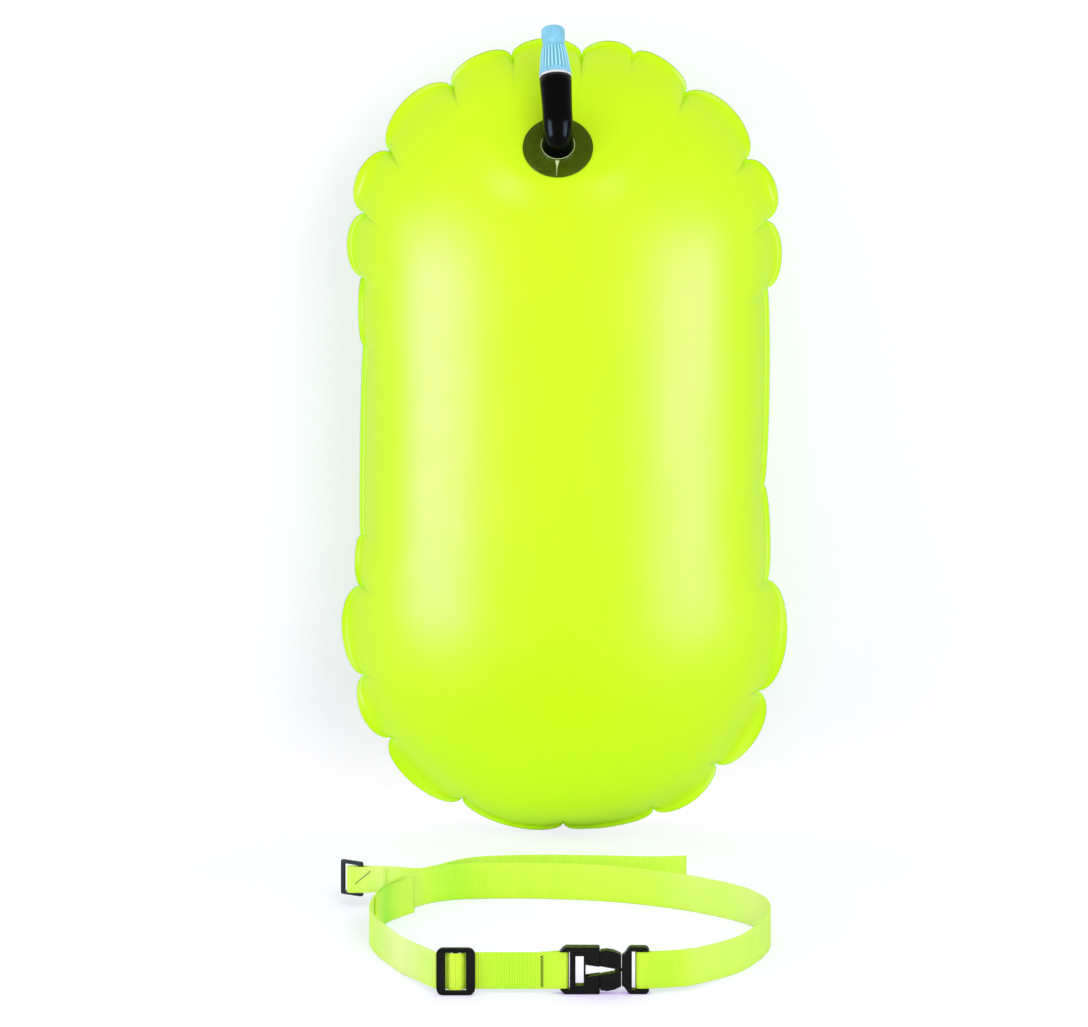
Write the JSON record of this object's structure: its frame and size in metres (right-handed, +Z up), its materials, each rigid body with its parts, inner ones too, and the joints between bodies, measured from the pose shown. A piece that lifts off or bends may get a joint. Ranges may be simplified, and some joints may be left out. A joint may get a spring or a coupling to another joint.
{
  "type": "open water swim buoy",
  "caption": "Inflatable open water swim buoy with a scalloped welded rim and a mouth valve on a short hose, and its waist belt with side-release buckle, slide and leash ring.",
  "frame": {"origin": "middle of the set's footprint box, on the floor that the bladder's rim and the belt's edges stand on", "axes": "+Z up; -Y towards the side with the valve; +Y, the longest extent, from the belt's front run back to the bladder; +X across the bladder, the shortest extent"},
  "size_m": [0.3068, 0.6264, 0.5742],
  "materials": {
    "film": "glossy fluorescent welded film",
    "flange": "tinted soft plastic, glossy",
    "silicone": "satin silicone",
    "inner_plastic": "moulded, satin",
    "hose": "glossy extruded tube",
    "seal": "satin",
    "mouthpiece": "moulded, satin",
    "webbing": "woven webbing",
    "hardware": "moulded, satin"
  },
  "bodies": {
    "bladder": {"front_panel": "film", "back_panel": "film", "anchor_patch": "film", "anchor_loop": "webbing", "valve_flange": "flange", "flap_cage": "inner_plastic", "inflation_hose": "hose", "nozzle_barrel": "inner_plastic", "seal_ring": "seal"},
    "flap": {"check_flap": "silicone"},
    "mouth": {"mouthpiece": "mouthpiece"},
    "plug": {"valve_plug": "inner_plastic", "plug_seal": "silicone"},
    "belt": {"waist_strap": "webbing", "leash_strap": "webbing", "buckle_socket": "hardware"},
    "buckle": {"buckle_plug": "hardware"},
    "arm_upper": {"release_arm_upper": "hardware"},
    "arm_lower": {"release_arm_lower": "hardware"},
    "slide": {"belt_slide": "hardware"},
    "ring": {"leash_ring": "hardware"}
  },
  "joints": [
    {"name": "flap_lift", "type": "slide", "parent": "bladder", "child": "flap", "axis": [0, 0.848, -0.5299], "range_m": [0, 0.0015], "stiffness_N_per_m": 20},
    {"name": "mouthpiece_twist", "type": "hinge", "parent": "bladder", "child": "mouth", "pos_m": [-0.00618, 0.1261, 0.53837], "axis": [-0.0506, 0.5292, 0.847], "range_deg": [0, 120]},
    {"name": "plug_travel", "type": "slide", "parent": "bladder", "child": "plug", "axis": [0.0506, -0.5292, -0.847], "range_m": [0, 0.002]},
    {"name": "belt_carry", "type": "slide", "parent": "bladder", "child": "belt", "axis": [0, -1, 0], "range_m": [0, 0.3]},
    {"name": "buckle_pull", "type": "slide", "parent": "belt", "child": "buckle", "axis": [1, 0, 0], "range_m": [0, 0.03], "deforming": ["waist_strap", "release_arm_upper", "release_arm_lower"]},
    {"name": "release_squeeze", "type": "hinge", "parent": "buckle", "child": "arm_upper", "pos_m": [0.03706, -0.30594, 0.01736], "axis": [0, -1, 0], "range_deg": [0, 7], "stiffness_Nm_per_rad": 0.8},
    {"name": "release_squeeze_lower", "type": "hinge", "parent": "buckle", "child": "arm_lower", "pos_m": [0.03706, -0.30594, 0.01476], "axis": [0, 1, 0], "range_deg": [0, 7], "stiffness_Nm_per_rad": 0.8},
    {"name": "belt_slide_adjust", "type": "slide", "parent": "belt", "child": "slide", "axis": [1, 0, 0], "range_m": [0, 0.036], "deforming": ["waist_strap"]},
    {"name": "leash_ring_swing", "type": "hinge", "parent": "belt", "child": "ring", "pos_m": [-0.13794, -0.03494, 0.01756], "axis": [0, 0, 1], "range_deg": [-110, 180]}
  ],
  "couplings": [
    {"joint": "plug_travel", "follows": "mouthpiece_twist", "m_per_rad": 0.00095},
    {"joint": "release_squeeze_lower", "follows": "release_squeeze", "ratio": 1}
  ]
}
